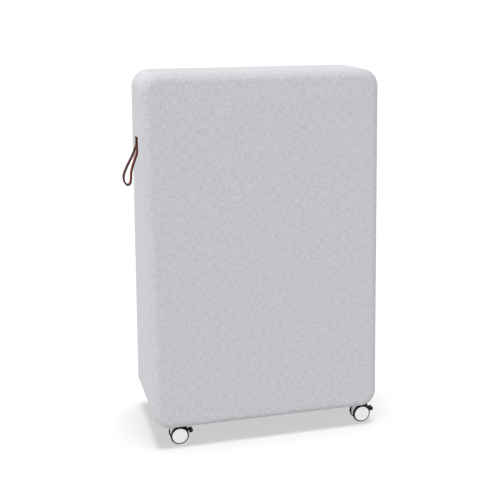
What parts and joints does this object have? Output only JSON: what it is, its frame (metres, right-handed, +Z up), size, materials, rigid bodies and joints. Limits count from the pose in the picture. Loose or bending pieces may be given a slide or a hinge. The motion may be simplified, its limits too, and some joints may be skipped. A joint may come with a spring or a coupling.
{
  "type": "rolling partition",
  "caption": "Fabric-covered wedge-shaped rolling partition with a leather pull loop on one side and braked twin-wheel castors under its foot.",
  "frame": {"origin": "on the floor, under the middle of the whole object with its pull; the middle of the fabric body is 30.8 mm towards +X from it", "axes": "+Z up, -Y out of the front, -X towards the side with the leather pull"},
  "size_m": [1.0696, 0.4972, 1.5641],
  "materials": {
    "upholstery_fabric": "matte",
    "dust_cloth": "matte",
    "foam": "matte",
    "plywood": "matte",
    "leather": "satin",
    "steel": "satin",
    "black_plastic": "satin",
    "white_plastic": "satin",
    "tyre": "matte"
  },
  "bodies": {
    "partition": {"base_board": "plywood", "top_board": "plywood", "left_side_board": "plywood", "right_side_board": "plywood", "front_board": "plywood", "back_board": "plywood", "lower_stiffener": "plywood", "upper_stiffener": "plywood", "front_foam": "foam", "back_foam": "foam", "left_foam": "foam", "right_foam": "foam", "top_foam": "foam", "front_cover": "upholstery_fabric", "back_cover": "upholstery_fabric", "side_band": "upholstery_fabric", "dust_cloth": "dust_cloth", "strap_tab": "leather", "strap_washer": "steel", "strap_screw": "steel", "strap_block": "plywood", "front_left_plate": "steel", "front_left_kingpin": "steel", "front_right_plate": "steel", "front_right_kingpin": "steel", "back_left_plate": "steel", "back_left_kingpin": "steel", "back_right_plate": "steel", "back_right_kingpin": "steel"},
    "pull_loop": {"strap_loop": "leather"},
    "front_left_castor": {"front_left_housing": "white_plastic", "front_left_axle": "steel"},
    "front_left_near_wheel": {"front_left_near_hub": "white_plastic", "front_left_near_tyre": "tyre"},
    "front_left_far_wheel": {"front_left_far_hub": "white_plastic", "front_left_far_tyre": "tyre"},
    "front_left_pedal": {"front_left_brake_pedal": "black_plastic"},
    "front_right_castor": {"front_right_housing": "white_plastic", "front_right_axle": "steel"},
    "front_right_near_wheel": {"front_right_near_hub": "white_plastic", "front_right_near_tyre": "tyre"},
    "front_right_far_wheel": {"front_right_far_hub": "white_plastic", "front_right_far_tyre": "tyre"},
    "front_right_pedal": {"front_right_brake_pedal": "black_plastic"},
    "back_left_castor": {"back_left_housing": "white_plastic", "back_left_axle": "steel"},
    "back_left_near_wheel": {"back_left_near_hub": "white_plastic", "back_left_near_tyre": "tyre"},
    "back_left_far_wheel": {"back_left_far_hub": "white_plastic", "back_left_far_tyre": "tyre"},
    "back_left_pedal": {"back_left_brake_pedal": "black_plastic"},
    "back_right_castor": {"back_right_housing": "white_plastic", "back_right_axle": "steel"},
    "back_right_near_wheel": {"back_right_near_hub": "white_plastic", "back_right_near_tyre": "tyre"},
    "back_right_far_wheel": {"back_right_far_hub": "white_plastic", "back_right_far_tyre": "tyre"},
    "back_right_pedal": {"back_right_brake_pedal": "black_plastic"}
  },
  "joints": [
    {"name": "pull_swing", "type": "hinge", "parent": "partition", "child": "pull_loop", "pos_m": [-0.47673, 0, 1.2731], "axis": [0, 1, 0], "range_deg": [0, 80]},
    {"name": "front_left_swivel", "type": "hinge", "parent": "partition", "child": "front_left_castor", "pos_m": [-0.38623, -0.191, 0.083], "axis": [0, 0, 1], "continuous": true},
    {"name": "front_left_near_roll", "type": "hinge", "parent": "front_left_castor", "child": "front_left_near_wheel", "pos_m": [-0.36023, -0.21215, 0.04], "axis": [0, 1, 0], "continuous": true},
    {"name": "front_left_far_roll", "type": "hinge", "parent": "front_left_castor", "child": "front_left_far_wheel", "pos_m": [-0.36023, -0.16985, 0.04], "axis": [0, 1, 0], "continuous": true},
    {"name": "front_left_brake", "type": "hinge", "parent": "front_left_castor", "child": "front_left_pedal", "pos_m": [-0.33323, -0.191, 0.062], "axis": [0, 1, 0], "range_deg": [0, 15]},
    {"name": "front_right_swivel", "type": "hinge", "parent": "partition", "child": "front_right_castor", "pos_m": [0.44777, -0.191, 0.083], "axis": [0, 0, 1], "continuous": true},
    {"name": "front_right_near_roll", "type": "hinge", "parent": "front_right_castor", "child": "front_right_near_wheel", "pos_m": [0.47377, -0.21215, 0.04], "axis": [0, 1, 0], "continuous": true},
    {"name": "front_right_far_roll", "type": "hinge", "parent": "front_right_castor", "child": "front_right_far_wheel", "pos_m": [0.47377, -0.16985, 0.04], "axis": [0, 1, 0], "continuous": true},
    {"name": "front_right_brake", "type": "hinge", "parent": "front_right_castor", "child": "front_right_pedal", "pos_m": [0.50077, -0.191, 0.062], "axis": [0, 1, 0], "range_deg": [0, 15]},
    {"name": "back_left_swivel", "type": "hinge", "parent": "partition", "child": "back_left_castor", "pos_m": [-0.38623, 0.191, 0.083], "axis": [0, 0, 1], "continuous": true},
    {"name": "back_left_near_roll", "type": "hinge", "parent": "back_left_castor", "child": "back_left_near_wheel", "pos_m": [-0.36023, 0.16985, 0.04], "axis": [0, 1, 0], "continuous": true},
    {"name": "back_left_far_roll", "type": "hinge", "parent": "back_left_castor", "child": "back_left_far_wheel", "pos_m": [-0.36023, 0.21215, 0.04], "axis": [0, 1, 0], "continuous": true},
    {"name": "back_left_brake", "type": "hinge", "parent": "back_left_castor", "child": "back_left_pedal", "pos_m": [-0.33323, 0.191, 0.062], "axis": [0, 1, 0], "range_deg": [0, 15]},
    {"name": "back_right_swivel", "type": "hinge", "parent": "partition", "child": "back_right_castor", "pos_m": [0.44777, 0.191, 0.083], "axis": [0, 0, 1], "continuous": true},
    {"name": "back_right_near_roll", "type": "hinge", "parent": "back_right_castor", "child": "back_right_near_wheel", "pos_m": [0.47377, 0.16985, 0.04], "axis": [0, 1, 0], "continuous": true},
    {"name": "back_right_far_roll", "type": "hinge", "parent": "back_right_castor", "child": "back_right_far_wheel", "pos_m": [0.47377, 0.21215, 0.04], "axis": [0, 1, 0], "continuous": true},
    {"name": "back_right_brake", "type": "hinge", "parent": "back_right_castor", "child": "back_right_pedal", "pos_m": [0.50077, 0.191, 0.062], "axis": [0, 1, 0], "range_deg": [0, 15]}
  ]
}
